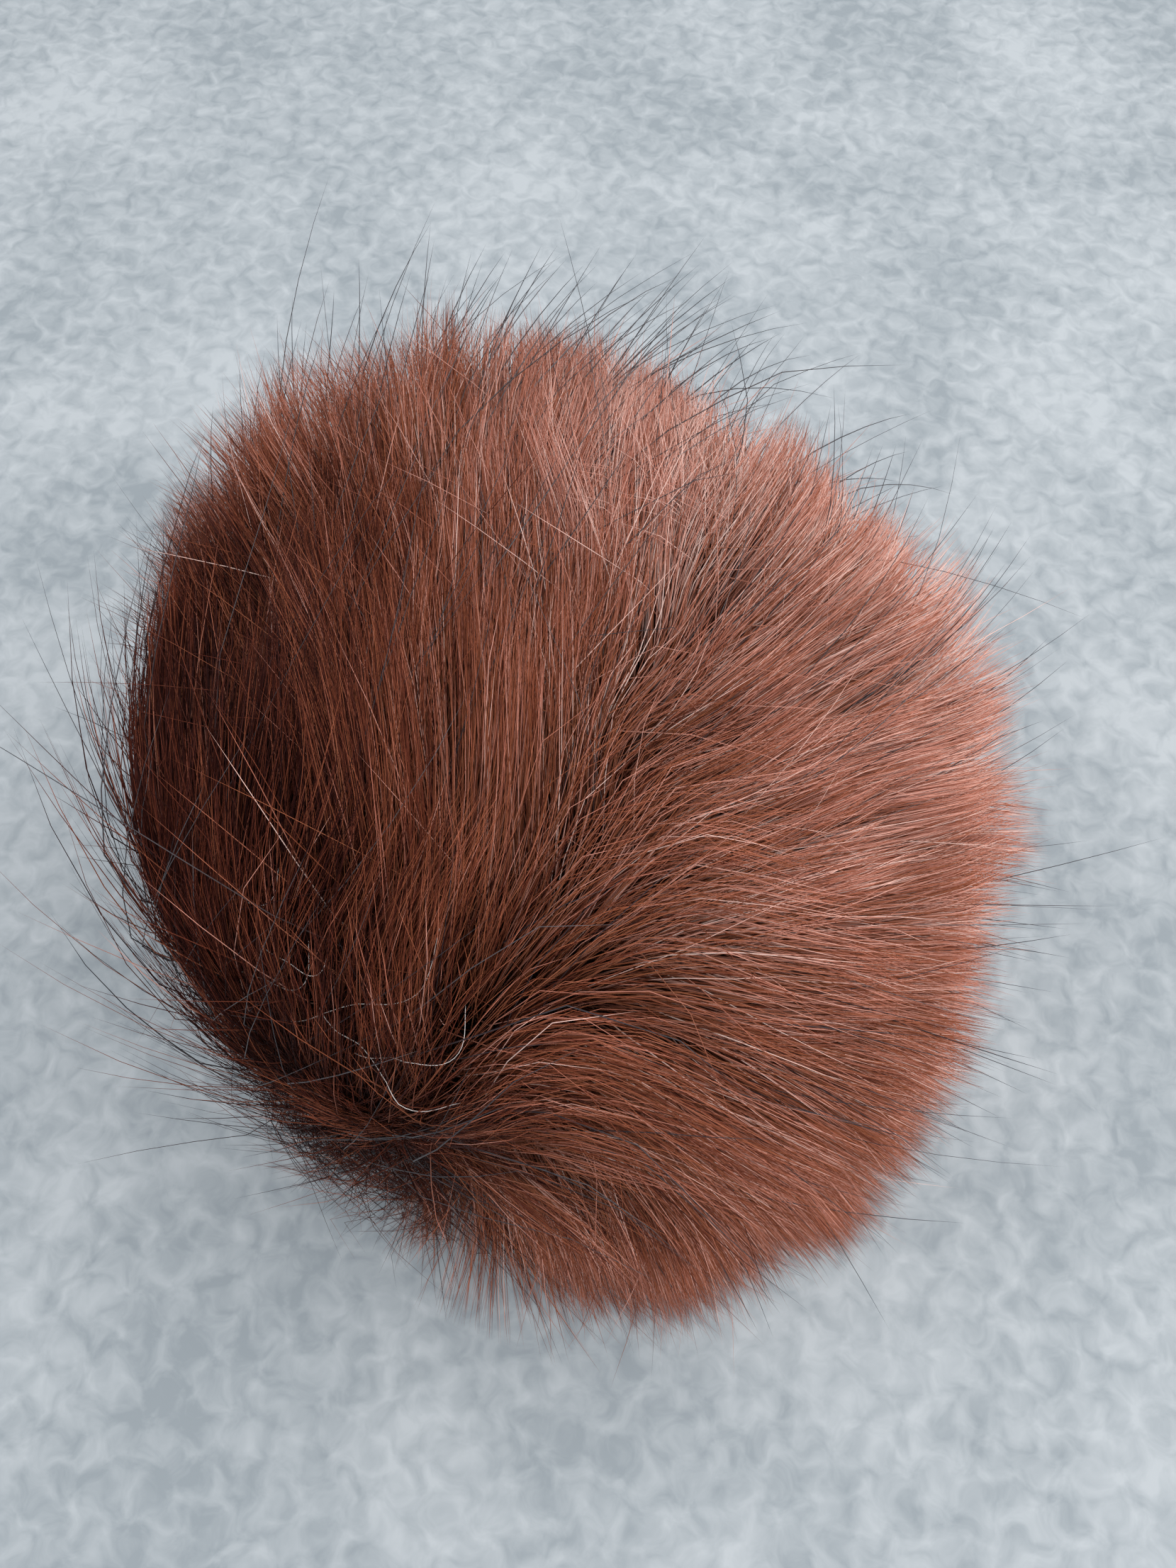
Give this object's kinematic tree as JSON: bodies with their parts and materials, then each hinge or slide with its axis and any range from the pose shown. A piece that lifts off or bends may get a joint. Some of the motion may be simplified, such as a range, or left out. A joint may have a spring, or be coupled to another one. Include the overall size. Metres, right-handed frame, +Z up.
{
  "type": "furry windscreen",
  "caption": "Long-pile fur windscreen for a handheld recorder: an elastic-hemmed two-panel fur cover pulls off a foam core with a mouth and cavity for the microphone head.",
  "frame": {"origin": "on the standing surface, under the middle of the body", "axes": "+Z up, from the mouth to the crown; the centre seam lies in the plane X = 0, with its gathered front end at -Y"},
  "size_m": [0.1272, 0.1206, 0.0902],
  "materials": {
    "foam": "matte",
    "cavity_mesh": "matte",
    "grip_rubber": "satin",
    "base_felt": "matte",
    "hem_tape": "matte",
    "elastic": "matte",
    "seam_tape": "matte",
    "lining_knit": "matte",
    "backing_knit": "matte",
    "fur_pile": "matte"
  },
  "bodies": {
    "foam_core": {"foam_front_half": "foam", "foam_rear_half": "foam", "foam_crown_pad": "foam", "cavity_sleeve": "cavity_mesh", "cavity_cap": "cavity_mesh", "grip_ring": "grip_rubber", "base_facing": "base_felt"},
    "fur_cover": {"hem_channel": "hem_tape", "hem_elastic": "elastic", "elastic_join": "elastic", "gather_tuck": "hem_tape", "seam_tape": "seam_tape", "left_lining": "lining_knit", "right_lining": "lining_knit", "left_backing": "backing_knit", "right_backing": "backing_knit", "left_pile": "fur_pile", "right_pile": "fur_pile"}
  },
  "joints": [
    {"name": "cover_pull", "type": "slide", "parent": "foam_core", "child": "fur_cover", "axis": [0, 0, 1], "range_m": [0, 0.08]}
  ]
}
